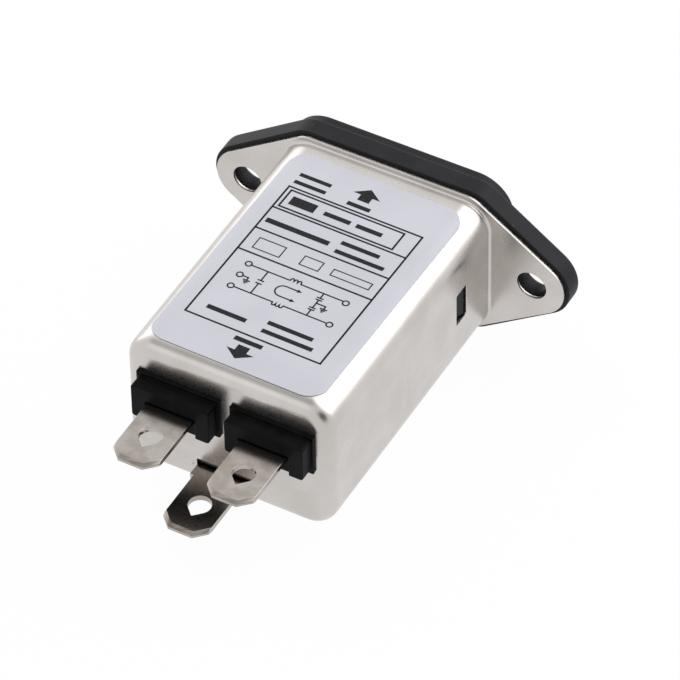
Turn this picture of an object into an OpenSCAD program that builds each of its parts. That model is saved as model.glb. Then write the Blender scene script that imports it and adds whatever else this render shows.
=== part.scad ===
// EMI line filter: an appliance inlet with its filter in a drawn steel can.
// Millimetres. The origin is midway between the mounting holes, on the face of
// the steel flange that meets the panel. +Y leads along the can to the
// terminals, -Y out of the socket, +Z to the side with the label.
// Most modules work in the plan of the socket face (x across, y up, z out of
// the socket), so depth into the can is -z, and upright() stands that plan up.

/* [Mounting flange] */
// Distance between the two mounting holes
hole_pitch = 40; // [39:0.25:42]
// Diameter of the mounting holes in the steel flange
hole_d = 4; // [3.2:0.1:4.4]
// Radius of the plastic ears around the mounting holes
ear_r = 4.8; // [4.4:0.1:5.4]
// How far the ear's centre lies outside its hole
ear_shift = 0.1; // [0:0.05:0.4]
// Straight run along the top and bottom of the flange
flange_flat = 22.4; // [21:0.2:24]
// How far the plastic plate stands past the bezel at the top and bottom
plate_over = 0.2; // [0.1:0.05:1]
// Radius of the four blunt corners between the straight runs and the ears
plate_corner_r = 3.55; // [2.5:0.05:4]
// How far the steel flange stays inside the plastic plate's outline
flange_inset = 0.5; // [0.3:0.05:0.7]

/* [Can] */
// Length of the can behind the panel face
can_len = 40; // [39:0.5:60]
// Thickness of the steel sheet
sheet_t = 0.6; // [0.4:0.05:0.7]
// Radius of the can's long corners
can_corner_r = 3.6; // [3:0.1:4.2]
// Outer radius of the bend into the rear wall
rear_bend_r = 2; // [1.4:0.1:2.6]
// Hollow radius where the can's wall meets the flange
root_r = 0.6; // [0.3:0.05:0.6]

/* [Latch windows] */
// Height of the window in each side wall
window_h = 5; // [3:0.25:7]
// Length of the window along the can
window_len = 2.5; // [2:0.1:3.5]
// Distance from the panel face to the window
window_from_flange = 5.8; // [4:0.1:7.5]
// Gap round the latch nib in its window
nib_gap = 0.25; // [0.15:0.05:0.4]
// How far the nib's crest stays below the can's outer face
nib_below = 0.25; // [0.1:0.05:0.5]

/* [Inlet housing] */
// Thickness of the plastic plate and its ears
plate_t = 2.8; // [2.4:0.1:4]
// Radius of the moulded front edges
front_edge_r = 0.5; // [0.3:0.1:0.8]
// Width of the raised bezel beside the socket
bezel_side = 3.2; // [2.8:0.1:3.4]
// Height of the raised bezel above and below the socket
bezel_over = 3.1; // [2.8:0.05:3.3]
// Corner radius of the raised bezel
bezel_corner_r = 5; // [3:0.25:6]
// How far the bezel stands in front of the ears
bezel_t = 1.2; // [0.6:0.1:2]
// Diameter of the screw holes in the ears
ear_hole_d = 3.6; // [3:0.1:3.8]
// Diameter of the countersinks in front
sink_d = 5.4; // [5:0.1:6.4]
// Thickness of the body's walls beside the socket
side_wall = 1.2; // [1:0.05:1.4]
// Thickness of the body's walls above and below the socket
top_wall = 1.25; // [1.1:0.05:1.4]
// Gap between the housing's body and the can
body_fit = 0.2; // [0.1:0.05:0.3]
// Thickness of the wall behind the socket
floor_t = 2.2; // [1.5:0.1:3]

/* [Socket] */
// Width of the socket cavity
socket_w = 24.2; // [23.8:0.1:24.6]
// Height of the socket cavity
socket_h = 16.2; // [15.8:0.1:16.6]
// Depth of the socket cavity from the bezel's face
socket_depth = 16.5; // [16:0.5:18]
// Leg of the two keying chamfers on the earth side
key_chamfer = 5.2; // [4:0.1:5.6]
// Radius of the two square corners of the cavity
socket_corner_r = 1.2; // [0.6:0.1:1.5]
// Lead-in chamfer round the cavity's mouth
lead_in = 0.5; // [0.3:0.1:0.8]

/* [Pins] */
// Thickness of each inlet pin
pin_w = 2; // [1.8:0.1:2.2]
// Height of each inlet pin
pin_h = 4; // [3.8:0.1:4.2]
// Distance between the line pin and the neutral pin
pin_pitch = 14; // [13.8:0.1:14.2]
// How far the earth pin is offset from the row of the other two
pin_offset = 4; // [3.8:0.1:4.2]
// How far the line and neutral pins stop short of the bezel's face
pin_recess = 2.6; // [2:0.1:4]
// How far the earth pin stops short of the bezel's face
earth_recess = 1.4; // [0.8:0.1:2]
// Length of the tapered tip of a pin
pin_tip = 1.2; // [0.8:0.1:1.6]
// Gap round a pin where it passes the wall behind the socket
pin_fit = 0.05; // [0.03:0.01:0.1]
// Thickness of the head behind the wall that a pin seats with
pin_head_t = 0.8; // [0.6:0.1:1.2]
// Length of the flat tail behind a pin's head
pin_tail_len = 4.4; // [4:0.1:5]
// Thickness of the flat tail
pin_tail_t = 1; // [0.8:0.1:1.2]

/* [Terminals] */
// Width of a tab
tab_w = 6.3; // [4.8:0.1:6.4]
// Thickness of a tab
tab_t = 0.8; // [0.5:0.1:1]
// Distance between the line and neutral tabs
tab_pitch = 12.8; // [12.6:0.1:13]
// Height of the line and neutral tabs above the can's middle
tab_z = 2.85; // [2.5:0.05:3.2]
// Reach of the line and neutral tabs behind the can
tab_reach = 11.8; // [10:0.1:14]
// Leg of the corner chamfers across the tab's end
tip_chamfer = 1.5; // [1:0.1:2]
// Length of the bevel that thins the tab's end
tip_bevel = 0.7; // [0.4:0.1:1]
// Depth of that bevel on each face
tip_bevel_d = 0.22; // [0.1:0.02:0.24]
// Radius of the round part of the teardrop hole
tear_r = 1.45; // [0.8:0.05:1.6]
// Distance from the tab's end to the middle of the hole
tear_from_tip = 4.85; // [4.2:0.05:6]

/* [Earth terminal] */
// How far the earth tab lies off the middle, towards the line side
earth_x = 0.6; // [-1:0.1:1]
// Height of the earth tab, below the can's middle
earth_z = -7.05; // [-7.4:0.05:-6.6]
// Reach of the earth tab behind the can
earth_reach = 10.7; // [9.5:0.1:14]
// Width of the tab's root where it passes the can
earth_root_w = 7.3; // [6.6:0.1:8.4]
// Length of the root outside the can
earth_root_len = 1.95; // [1:0.05:3]
// Inner radius of the bend between tab and foot
earth_bend_r = 0.5; // [0.3:0.05:0.6]
// Height of the foot that is welded inside the rear wall
earth_foot_h = 5; // [4.6:0.1:5.4]
// Free height of the slot above the tab
slot_over = 0.75; // [0.7:0.05:0.9]
// Gap at the sides and under the tab in the slot
slot_fit = 0.1; // [0.06:0.02:0.2]
// Length of the dimple pressed beside the slot
dimple_len = 2.3; // [2:0.1:2.8]
// Width of the pressed dimple
dimple_w = 1.1; // [0.8:0.05:1.3]
// Height of the pressed dimple
dimple_h = 0.25; // [0.15:0.05:0.35]
// Gap between the slot's end and the dimple
dimple_gap = 0.2; // [0.15:0.05:0.5]

/* [Insulators] */
// Width of the collar that bears on the rear wall
collar_w = 11.4; // [11:0.1:12.2]
// Height of the collar
collar_h = 6.1; // [5.8:0.1:6.8]
// Thickness of the collar
collar_t = 0.5; // [0.4:0.1:0.9]
// Width of the block outside the can
block_w = 10.7; // [10:0.1:10.9]
// Height of the block outside the can
block_h = 5.1; // [4.6:0.1:5.4]
// Radius of the block's upright edges
block_edge_r = 0.4; // [0.2:0.1:1.2]
// How far the block stands behind the can
block_out = 2.45; // [2:0.05:3.4]
// Depth of the shallow recess round the tab
recess_d = 0.5; // [0.3:0.1:0.8]
// Width of the opening in the rear wall
opening_w = 9.4; // [9:0.1:9.8]
// Height of the opening in the rear wall
opening_h = 4.2; // [3.8:0.1:4.6]
// Gap round the insulator in its opening
neck_fit = 0.1; // [0.05:0.05:0.15]
// How far the neck reaches inside the rear wall
neck_in = 1.4; // [1.2:0.1:1.6]
// How far the snap barbs stand out behind the rear wall
barb_out = 0.4; // [0.3:0.05:0.5]
// Gap round the tab in its insulator
tab_fit = 0.08; // [0.05:0.01:0.12]

/* [Rating label] */
// Width of the label
label_w = 24; // [20:0.2:25]
// Length of the label along the can
label_len = 36.4; // [30:0.2:36.6]
// Corner radius of the label
label_r = 2.6; // [1:0.1:4]
// Thickness of the label
label_t = 0.1; // [0.06:0.01:0.15]
// Angle that the label was stuck on at
label_turn = -0.9; // [-2:0.1:2]
// Distance from the can's rear end to the label
label_from_rear = 1.7; // [1:0.1:3]

/* [Choke] */
// Outer diameter of the ring core
core_od = 14.5; // [13.5:0.1:15]
// Inner diameter of the ring core
core_id = 8; // [7.5:0.1:8.6]
// Height of the ring core
core_h = 7; // [5:0.25:7.5]
// Radius of the core's coated edges
core_edge_r = 0.6; // [0.4:0.1:0.8]
// Diameter of the winding wire
wire_d = 0.9; // [0.6:0.05:0.95]
// Gap between the wire and the core
wire_gap = 0.08; // [0.05:0.01:0.15]
// Turns in each winding
turns = 8; // [5:1:8]
// Angle round the core that each winding covers
winding_span = 144; // [120:2:148]
// Thickness of the divider between the windings
divider_t = 1; // [0.6:0.1:1.2]

/* [Capacitors] */
// Width of the capacitor across the line
xcap_w = 12.4; // [10:0.1:12.6]
// Height of the capacitor across the line
xcap_h = 9; // [7:0.1:9.2]
// Depth of the capacitor across the line
xcap_t = 5.2; // [4:0.1:5.4]
// Distance between the capacitor's leads
xcap_pitch = 10; // [9:0.1:10.4]
// Diameter of each capacitor to earth
ycap_d = 7.5; // [6:0.1:7.8]
// Thickness of each capacitor to earth
ycap_t = 3.4; // [2.5:0.1:3.6]
// Diameter of the capacitors' leads
lead_d = 0.6; // [0.5:0.05:0.7]

/* [Liner] */
// Thickness of the insulating liner
liner_t = 0.25; // [0.15:0.05:0.3]
// Gap between the liner and the can
liner_fit = 0.05; // [0.03:0.01:0.1]

/* [Hidden] */
$fn = 96;
// Past-the-face margin of every cut
cut = 0.5;

// The body's walls, its gap and the sheet, going outwards from the socket, give the can
body_w = socket_w + 2 * side_wall;
body_h = socket_h + 2 * top_wall;
can_w = body_w + 2 * (body_fit + sheet_t);
can_h = body_h + 2 * (body_fit + sheet_t);

// Flange, bezel and plate
bezel_w = socket_w + 2 * bezel_side;
bezel_h = socket_h + 2 * bezel_over;
plate_h = bezel_h + 2 * plate_over;
ear_x = hole_pitch / 2 + ear_shift;
corner_x = flange_flat / 2;
corner_y = plate_h / 2 - plate_corner_r;
plate_front = sheet_t + plate_t;
bezel_front = plate_front + bezel_t;

// Straight runs between the can's corner axes
run_x = can_w - 2 * can_corner_r;
run_y = can_h - 2 * can_corner_r;

// Housing body inside the can
body_corner_r = can_corner_r - sheet_t - body_fit;
socket_floor = bezel_front - socket_depth;
body_back = socket_floor - floor_t;
// Row of the line and neutral pins above the middle, and the earth pin as far below
pin_row = pin_offset / 2;
pin_head_side = 0.6;
tail_h = 2.6;
tail_back = body_back - pin_head_t - pin_tail_len;
tail_hole_z = tail_back + 1.6;
tail_hole_d = wire_d + 0.5;

// Terminals
collar_edge_r = 0.15;
rear_in = can_len - sheet_t;
neck_end = rear_in - neck_in;
shoulder_w = 7.6;
shoulder_len = 1;
inner_tail_w = 3;
inner_tail_len = 4.2;
inner_tail_end = neck_end - shoulder_len - inner_tail_len;
inner_hole_y = inner_tail_end + 2.8;
slot_top = earth_z + tab_t / 2 + slot_over;
slot_bottom = earth_z - tab_t / 2 - slot_fit;
slot_w = earth_root_w + 2 * slot_fit;

// Filter parts, placed by their depth behind the panel
xcap_gap = 1.2;
xcap_front = body_back - xcap_gap;
xcap_y = pin_row + xcap_h / 2 - 2.1;
choke_gap = 3.9;
choke_z = tail_back - choke_gap - core_h / 2;
ycap_x = 7.5;
ycap_y = -3.2;
ycap_z = -(inner_tail_end + 2.4);
liner_front = body_back - 0.1;
liner_back = -(can_len - rear_bend_r);
core_mid_r = (core_od + core_id) / 4;
core_half = (core_od - core_id) / 4;
wire_out = core_edge_r + wire_gap + wire_d / 2;

// Earth wire: its first run, how far out and how high it passes the choke, and where it climbs and ends
earth_lead = 1.6;
earth_run_x = 8.6;
earth_run_y = -can_h / 2 + sheet_t + 1.7;
earth_climb = 3;
earth_end_x = earth_x + 0.8;
earth_end_y = earth_z + tab_t / 2 + 1.8;
earth_wire_d = 0.9;

module upright() { rotate([90, 0, 0]) children(); }
module neutral_side() { mirror([1, 0, 0]) children(); }

module rounded_rect(w, h, r)
{
    square([w, h - 2 * r], center = true);
    square([w - 2 * r, h], center = true);
    for (x = [-1, 1], y = [-1, 1])
        translate([x * (w / 2 - r), y * (h / 2 - r)]) circle(r);
}

// Circles at the two ears and the four blunt corners, and their common tangents
module at_ears() { for (x = [-1, 1]) translate([x * ear_x, 0]) children(); }
module at_corners() { for (x = [-1, 1], y = [-1, 1]) translate([x * corner_x, y * corner_y]) children(); }
module at_holes() { for (x = [-1, 1]) translate([x * hole_pitch / 2, 0]) children(); }

// Outline of the plate, or of the steel flange when inset
module flange_outline(inset = 0)
{
    ear = ear_r - inset;
    corner = plate_corner_r - inset;
    span = [corner_x - ear_x, corner_y];
    normal = atan2(span.y, span.x) - acos((ear - corner) / norm(span));
    across = [cos(normal), sin(normal)];
    at_ears() circle(ear);
    at_corners() circle(corner);
    for (x = [0, 1], y = [0, 1]) mirror([x, 0]) mirror([0, y])
        polygon([[0, 0], [ear_x, 0], [ear_x, 0] + ear * across, [corner_x, corner_y] + corner * across,
            [corner_x, corner_y + corner], [0, corner_y + corner]]);
}

// Disc with a rounded front edge, for moulded plates that are hulls of discs
module moulded_disc(r, h, edge)
{
    rotate_extrude($fn = 64) {
        square([r, h - edge]);
        square([r - edge, h]);
        translate([r - edge, h - edge]) circle(edge, $fn = 24);
    }
}

// Quarter of a bend in the sheet, inner radius r, between the +x and +y directions
module bend(r)
{
    intersection() {
        difference() {
            circle(r + sheet_t);
            circle(r);
        }
        square(r + sheet_t + cut);
    }
}

// Section of the drawn sheet from a corner's axis out to the flange's root:
// rear wall, rear bend, side wall and the hollow bend into the flange
module drawn_section()
{
    flat = can_corner_r - rear_bend_r;
    translate([0, -can_len]) square([flat, sheet_t]);
    translate([flat, rear_bend_r - can_len]) mirror([0, 1]) bend(rear_bend_r - sheet_t);
    translate([can_corner_r - sheet_t, rear_bend_r - can_len])
        square([sheet_t, can_len - rear_bend_r - root_r]);
    translate([can_corner_r + root_r, -root_r]) mirror([1, 0]) bend(root_r);
}

// The section carried round the can: a quarter turn at each corner, a straight run between
module drawn_shell()
{
    for (k = [0 : 3]) {
        along = k % 2 == 0 ? run_y : run_x;
        out = k % 2 == 0 ? run_x : run_y;
        rotate(k * 90) translate([out / 2, along / 2, 0]) rotate_extrude(angle = 90) drawn_section();
        rotate(k * 90) translate([out / 2, along / 2, 0]) rotate([90, 0, 0])
            linear_extrude(along) drawn_section();
    }
    translate([-run_x / 2, -run_y / 2, -can_len]) cube([run_x, run_y, sheet_t]);
}

module steel_flange()
{
    linear_extrude(sheet_t) difference() {
        flange_outline(flange_inset);
        rounded_rect(can_w + 2 * root_r, can_h + 2 * root_r, can_corner_r + root_r);
    }
}

module dimple(h, w)
{
    translate([earth_x + slot_w / 2 + dimple_gap + dimple_len / 2, earth_z, -can_len])
        mirror([0, 0, 1]) linear_extrude(h) hull()
            for (x = [-1, 1]) translate([x * (dimple_len - dimple_w) / 2, 0]) circle(w / 2, $fn = 32);
}

// One drawn sheet: can, rear wall and flange, with every opening pierced in it
module shield_can()
{
    color("lightgray") upright() difference() {
        union() {
            drawn_shell();
            steel_flange();
            dimple(dimple_h, dimple_w);
        }
        at_holes() translate([0, 0, -cut]) cylinder(d = hole_d, h = sheet_t + 2 * cut);
        translate([-can_w, -window_h / 2, -window_from_flange - window_len])
            cube([2 * can_w, window_h, window_len]);
        for (x = [-1, 1])
            translate([x * tab_pitch / 2 - opening_w / 2, tab_z - opening_h / 2, -can_len - cut])
                cube([opening_w, opening_h, sheet_t + 2 * cut]);
        translate([earth_x - slot_w / 2, slot_bottom, -can_len - cut])
            cube([slot_w, slot_top - slot_bottom, sheet_t + 2 * cut]);
    }
}

// Thin sheet on the can's top that follows its long corners at the label's edges
module rating_label()
{
    middle = can_len - label_from_rear - label_len / 2;
    color("whitesmoke") intersection() {
        upright() translate([0, 0, -can_len]) linear_extrude(can_len) difference() {
            rounded_rect(can_w + 2 * label_t, can_h + 2 * label_t, can_corner_r + label_t);
            rounded_rect(can_w, can_h, can_corner_r);
        }
        translate([0, middle, 0]) rotate(label_turn)
            linear_extrude(can_h) rounded_rect(label_w, label_len, label_r);
    }
}

module socket_outline()
{
    intersection() {
        rounded_rect(socket_w, socket_h, socket_corner_r);
        polygon([[-socket_w / 2, socket_h / 2], [-socket_w / 2, key_chamfer - socket_h / 2],
            [key_chamfer - socket_w / 2, -socket_h / 2], [socket_w / 2 - key_chamfer, -socket_h / 2],
            [socket_w / 2, key_chamfer - socket_h / 2], [socket_w / 2, socket_h / 2]]);
    }
}

// Latch nib: low at the end that enters the can first, steep towards the flange
module nib()
{
    crest = can_w / 2 - nib_below;
    front = -window_from_flange - nib_gap;
    back = -window_from_flange - window_len + nib_gap;
    height = window_h - 2 * nib_gap;
    root = body_w / 2 - nib_gap;
    translate([0, height / 2, 0]) rotate([90, 0, 0]) linear_extrude(height)
        polygon([[root, back], [body_w / 2, back], [crest, front - nib_gap], [crest, front], [root, front]]);
}

module pin_slot(x, y)
{
    translate([x, y, body_back + floor_t / 2])
        cube([pin_w + 2 * pin_fit, pin_h + 2 * pin_fit, floor_t + 2 * cut], center = true);
}

module inlet_housing()
{
    color("dimgray") upright() difference() {
        union() {
            translate([0, 0, sheet_t]) hull() {
                at_ears() moulded_disc(ear_r, plate_t, front_edge_r);
                at_corners() moulded_disc(plate_corner_r, plate_t, front_edge_r);
            }
            translate([0, 0, sheet_t]) hull()
                for (x = [-1, 1], y = [-1, 1])
                    translate([x * (bezel_w / 2 - bezel_corner_r), y * (bezel_h / 2 - bezel_corner_r), 0])
                        moulded_disc(bezel_corner_r, plate_t + bezel_t, front_edge_r);
            translate([0, 0, body_back]) linear_extrude(sheet_t - body_back + cut)
                rounded_rect(body_w, body_h, body_corner_r);
            nib();
            mirror([1, 0, 0]) nib();
        }
        translate([0, 0, socket_floor]) linear_extrude(socket_depth + cut) socket_outline();
        hull() {
            translate([0, 0, bezel_front - lead_in]) linear_extrude(cut / 10) socket_outline();
            translate([0, 0, bezel_front]) linear_extrude(cut / 10) offset(delta = lead_in) socket_outline();
        }
        pin_slot(pin_pitch / 2, pin_row);
        pin_slot(-pin_pitch / 2, pin_row);
        pin_slot(0, -pin_row);
        at_holes() cylinder(d = ear_hole_d, h = bezel_front);
        at_holes() translate([0, 0, plate_front - (sink_d - ear_hole_d) / 2])
            cylinder(d1 = ear_hole_d, d2 = sink_d + 2 * cut, h = (sink_d - ear_hole_d) / 2 + cut);
    }
}

// Inlet blade with a tapered tip, a head that seats behind the wall, and a flat tail
module pin(recess)
{
    tip = bezel_front - recess;
    blade = tip - pin_tip - body_back;
    difference() {
        union() {
            translate([-pin_w / 2, -pin_h / 2, body_back]) cube([pin_w, pin_h, blade]);
            hull() {
                translate([-pin_w / 2, -pin_h / 2, tip - pin_tip]) cube([pin_w, pin_h, cut / 10]);
                translate([-pin_w / 5, -pin_h * 0.36, tip - cut / 10])
                    cube([pin_w * 0.4, pin_h * 0.72, cut / 10]);
            }
            translate([-pin_w / 2 - pin_head_side, -pin_h / 2 - pin_head_side / 2, body_back - pin_head_t])
                cube([pin_w + 2 * pin_head_side, pin_h + pin_head_side, pin_head_t]);
            translate([-pin_tail_t / 2, -tail_h / 2, tail_back]) cube([pin_tail_t, tail_h, pin_tail_len]);
        }
        translate([-pin_w, 0, tail_hole_z]) rotate([0, 90, 0]) cylinder(d = tail_hole_d, h = 2 * pin_w);
    }
}

module line_pin() { color("khaki") upright() translate([pin_pitch / 2, pin_row, 0]) pin(pin_recess); }
module neutral_pin() { color("khaki") neutral_side() line_pin(); }
module earth_pin() { color("khaki") upright() translate([0, -pin_row, 0]) pin(earth_recess); }

// Collar against the rear wall, block outside it, neck and snap barbs inside
module insulator()
{
    neck_w = opening_w - 2 * neck_fit;
    neck_h = opening_h - 2 * neck_fit;
    recess_w = tab_w + 0.5;
    recess_top = tab_t / 2 + 2 * tab_fit;
    barb_front = -rear_in + neck_fit;
    difference() {
        union() {
            translate([0, 0, -can_len - collar_t]) linear_extrude(collar_t)
                rounded_rect(collar_w, collar_h, collar_edge_r);
            translate([0, 0, -can_len - block_out]) linear_extrude(block_out)
                rounded_rect(block_w, block_h, block_edge_r);
            translate([-neck_w / 2, -neck_h / 2, -can_len]) cube([neck_w, neck_h, can_len - neck_end]);
            translate([0, neck_h / 4, 0]) rotate([90, 0, 0]) linear_extrude(neck_h / 2)
                polygon([[-neck_w / 2, -neck_end], [-neck_w / 2 - barb_out, barb_front],
                    [neck_w / 2 + barb_out, barb_front], [neck_w / 2, -neck_end]]);
        }
        translate([-tab_w / 2 - tab_fit, -tab_t / 2 - tab_fit, -can_len - block_out - cut])
            cube([tab_w + 2 * tab_fit, tab_t + 2 * tab_fit, can_len + block_out - neck_end + 2 * cut]);
        translate([-recess_w / 2, -block_h, -can_len - block_out - cut])
            cube([recess_w, block_h + recess_top, recess_d + cut]);
    }
}

module line_insulator() { color("black") upright() translate([tab_pitch / 2, tab_z, 0]) insulator(); }
module neutral_insulator() { color("black") neutral_side() line_insulator(); }

// Plan of a blade that starts at y = from and ends at y = to with chamfered corners
module blade_outline(from, to)
{
    half = tab_w / 2;
    polygon([[-half, from], [half, from], [half, to - tip_chamfer], [half - tip_chamfer, to],
        [tip_chamfer - half, to], [-half, to - tip_chamfer]]);
}

// Flat blade with a bevelled end and a teardrop hole that points to its end
module blade(from, to)
{
    difference() {
        hull() {
            linear_extrude(tab_t - 2 * tip_bevel_d, center = true) blade_outline(from, to);
            linear_extrude(tab_t, center = true) blade_outline(from, to - tip_bevel);
        }
        translate([0, to - tear_from_tip, -tab_t]) {
            cylinder(r = tear_r, h = 2 * tab_t);
            rotate(45) cube([tear_r, tear_r, 2 * tab_t]);
        }
    }
}

// Tab with a shoulder behind its insulator and a narrow inner tail for the wires
module line_terminal()
{
    color("silver") translate([tab_pitch / 2, 0, tab_z]) {
        blade(neck_end, can_len + tab_reach);
        linear_extrude(tab_t, center = true) difference() {
            union() {
                translate([-shoulder_w / 2, neck_end - shoulder_len]) square([shoulder_w, shoulder_len]);
                translate([-inner_tail_w / 2, inner_tail_end]) square([inner_tail_w, inner_tail_len + cut]);
            }
            translate([0, inner_hole_y]) circle(d = wire_d + 0.5);
        }
    }
}
module neutral_terminal() { color("silver") neutral_side() line_terminal(); }

// Tab, wider root through the slot, and a foot bent up against the rear wall's inside
module earth_terminal()
{
    root_end = can_len + earth_root_len;
    arc_y = rear_in + earth_bend_r;
    arc_z = tab_t / 2 + earth_bend_r;
    foot_h = earth_foot_h - arc_z - tab_t / 2;
    color("silver") translate([earth_x, 0, earth_z]) {
        blade(root_end - cut, can_len + earth_reach);
        translate([-earth_root_w / 2, arc_y, -tab_t / 2]) cube([earth_root_w, root_end - arc_y, tab_t]);
        translate([-earth_root_w / 2, arc_y, arc_z]) rotate([90, 0, 90]) linear_extrude(earth_root_w)
            intersection() {
                difference() {
                    circle(earth_bend_r + tab_t);
                    circle(earth_bend_r);
                }
                translate([-tab_t - 2 * earth_bend_r, -tab_t - 2 * earth_bend_r])
                    square(tab_t + 2 * earth_bend_r);
            }
        translate([-earth_root_w / 2, rear_in - tab_t, arc_z]) cube([earth_root_w, tab_t, foot_h]);
    }
}

module choke_core()
{
    color("darkolivegreen") upright() translate([0, 0, choke_z]) rotate_extrude()
        translate([core_mid_r, 0]) rounded_rect(2 * core_half, core_h, core_edge_r);
}

// Card through the core's bore that keeps the windings apart; its bar rests on the core
// and spans the liner
module choke_divider()
{
    bore = core_id - 2 * wire_gap;
    bar_h = can_h - 2 * (sheet_t + liner_fit + liner_t + wire_gap);
    color("ivory") upright() translate([-divider_t / 2, 0, choke_z]) {
        translate([0, -bore / 2, -core_h / 2]) cube([divider_t, bore, core_h + 1]);
        translate([0, -bar_h / 2, core_h / 2]) cube([divider_t, bar_h, 1]);
    }
}

function unit(v) = v / norm(v);
function heading(p, i) =
    i == 0 ? unit(p[1] - p[0])
    : i == len(p) - 1 ? unit(p[i] - p[i - 1])
    : unit(unit(p[i + 1] - p[i]) + unit(p[i] - p[i - 1]));
// A side vector carried along the path with as little turn as it can have
function carried(t, s, i = 0) =
    i == len(t) ? []
    : let (n = unit(s - (s * t[i]) * t[i])) concat([n], carried(t, n, i + 1));

// Round wire along a path of points; side is any direction across its start
module wire(path, d, side, sides = 8)
{
    t = [for (i = [0 : len(path) - 1]) heading(path, i)];
    s = carried(t, side);
    n = len(path);
    points = [for (i = [0 : n - 1], k = [0 : sides - 1])
        path[i] + d / 2 * (cos(k * 360 / sides) * s[i] + sin(k * 360 / sides) * cross(t[i], s[i]))];
    skin = [for (i = [0 : n - 2], k = [0 : sides - 1])
        [i * sides + k, (i + 1) * sides + k, (i + 1) * sides + (k + 1) % sides, i * sides + (k + 1) % sides]];
    first = [for (k = [0 : sides - 1]) k];
    last = [for (k = [sides - 1 : -1 : 0]) (n - 1) * sides + k];
    polyhedron(points = points, faces = concat(skin, [first, last]));
}

// Point of a winding: the wire goes round the core's section, four steps to each
// corner, while it advances round the ring from the top to the bottom
function winding_point(i, total) =
    let (
        theta = winding_span / 2 - winding_span * i / total,
        a = i * 90 / 3.999 - floor(i / 4) * 90 / 3.999 * 4 + floor(i / 4) * 90,
        corner = floor(i / 4) % 4,
        turn = corner * 90 + (i % 4) * 30,
        rho = core_mid_r + (corner == 0 || corner == 3 ? 1 : -1) * (core_half - core_edge_r)
            + wire_out * cos(turn),
        depth = (corner < 2 ? 1 : -1) * (core_h / 2 - core_edge_r) + wire_out * sin(turn)
    )
    [rho * cos(theta), rho * sin(theta), choke_z + depth];

// One wire: from the eye in the pin's tail, round the core, to the eye in the terminal's tail
module line_winding()
{
    total = 16 * turns;
    tail_x = pin_pitch / 2;
    tab_x = tab_pitch / 2;
    top = core_od / 2 + wire_d;
    face = core_h / 2 + wire_gap + wire_d / 2;
    lead_in_points = [
        [tail_x - pin_tail_t / 2, pin_row, tail_hole_z],
        [tail_x + 1.4, pin_row, tail_hole_z],
        [tail_x + 2.4, pin_row + 1, tail_hole_z - 0.8],
        [tail_x + 1.8, top - 1.8, choke_z + face + 2.2],
        [tail_x - 1.2, top - 0.4, choke_z + face + 0.9],
        [tail_x - 4.2, top - 0.2, choke_z + face + 0.1]];
    lead_out_points = [
        [2.5, -top + 0.3, choke_z - face - 0.2],
        [2.9, -top + 2.4, choke_z - face - 1.4],
        [3, -1.5, ycap_z + ycap_t / 2 + 0.5],
        [tab_x - 1.9, tab_z - 2, -inner_hole_y + 1.2],
        [tab_x, tab_z - 1.4, -inner_hole_y],
        [tab_x, tab_z + 1.4, -inner_hole_y]];
    color("peru") upright() wire(concat(lead_in_points,
        [for (i = [3 : total - 4]) winding_point(i, total)], lead_out_points), wire_d, [0, 0, 1]);
}
module neutral_winding() { color("peru") neutral_side() line_winding(); }

module x_capacitor()
{
    color("gold") upright() translate([0, xcap_y, xcap_front - xcap_t])
        linear_extrude(xcap_t) rounded_rect(xcap_w, xcap_h, 0.5);
}

// Each lead leaves the capacitor downwards and turns out to its pin's tail
module x_capacitor_leads()
{
    bottom = xcap_y - xcap_h / 2;
    depth = xcap_front - xcap_t / 2;
    under = bottom - 1;
    lead = [[xcap_pitch / 2, bottom, depth], [xcap_pitch / 2, under, depth],
        [pin_pitch / 2, under, depth], [pin_pitch / 2, pin_row - tail_h / 2, depth]];
    color("lightsteelblue") upright() {
        wire(lead, lead_d, [0, 0, 1]);
        mirror([1, 0, 0]) wire(lead, lead_d, [0, 0, 1]);
    }
}

module line_y_capacitor()
{
    color("steelblue") upright() translate([ycap_x, ycap_y, ycap_z]) rotate_extrude()
        intersection() {
            rounded_rect(ycap_d, ycap_t, 0.8);
            translate([0, -ycap_t]) square([ycap_d, 2 * ycap_t]);
        }
}
module neutral_y_capacitor() { color("steelblue") neutral_side() line_y_capacitor(); }

// One lead up to the terminal's tail, one across to the earth terminal's foot
module line_y_capacitor_leads()
{
    up_z = ycap_z + 0.4;
    foot = -(rear_in - tab_t);
    inner = ycap_x - ycap_d / 2;
    in_line = inner - 1.4;
    color("lightsteelblue") upright() {
        wire([[ycap_x, ycap_y + ycap_d / 2, up_z], [ycap_x, tab_z - tab_t / 2, up_z]], lead_d, [1, 0, 0]);
        wire([[inner, ycap_y, ycap_z], [in_line + 0.5, ycap_y, ycap_z], [in_line, ycap_y, ycap_z - 0.5],
            [in_line, ycap_y, foot]], lead_d, [0, 1, 0]);
    }
}
module neutral_y_capacitor_leads() { color("lightsteelblue") neutral_side() line_y_capacitor_leads(); }

// Runs along the can's lower corner, clear of the choke and the capacitors
module earth_wire()
{
    foot = -(rear_in - tab_t);
    bend_x = earth_run_x - 0.4;
    half_x = (earth_lead + earth_run_x) / 2 - 0.6;
    route = [[-pin_tail_t, -pin_row, tail_hole_z], [earth_lead, -pin_row, tail_hole_z],
        [half_x, -2 * pin_row, tail_hole_z - earth_wire_d],
        [bend_x, earth_run_y + 0.4, tail_back - 2 * earth_wire_d],
        [earth_run_x, earth_run_y, choke_z],
        [bend_x, earth_run_y, ycap_z + earth_climb],
        [half_x, earth_run_y, foot + earth_climb],
        [earth_end_x + 0.4, earth_end_y - 0.4, foot + earth_climb / 2],
        [earth_end_x, earth_end_y, foot + earth_wire_d],
        [earth_end_x, earth_end_y, foot]];
    color("limegreen") upright() wire(route, earth_wire_d, [0, 0, 1]);
}

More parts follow.
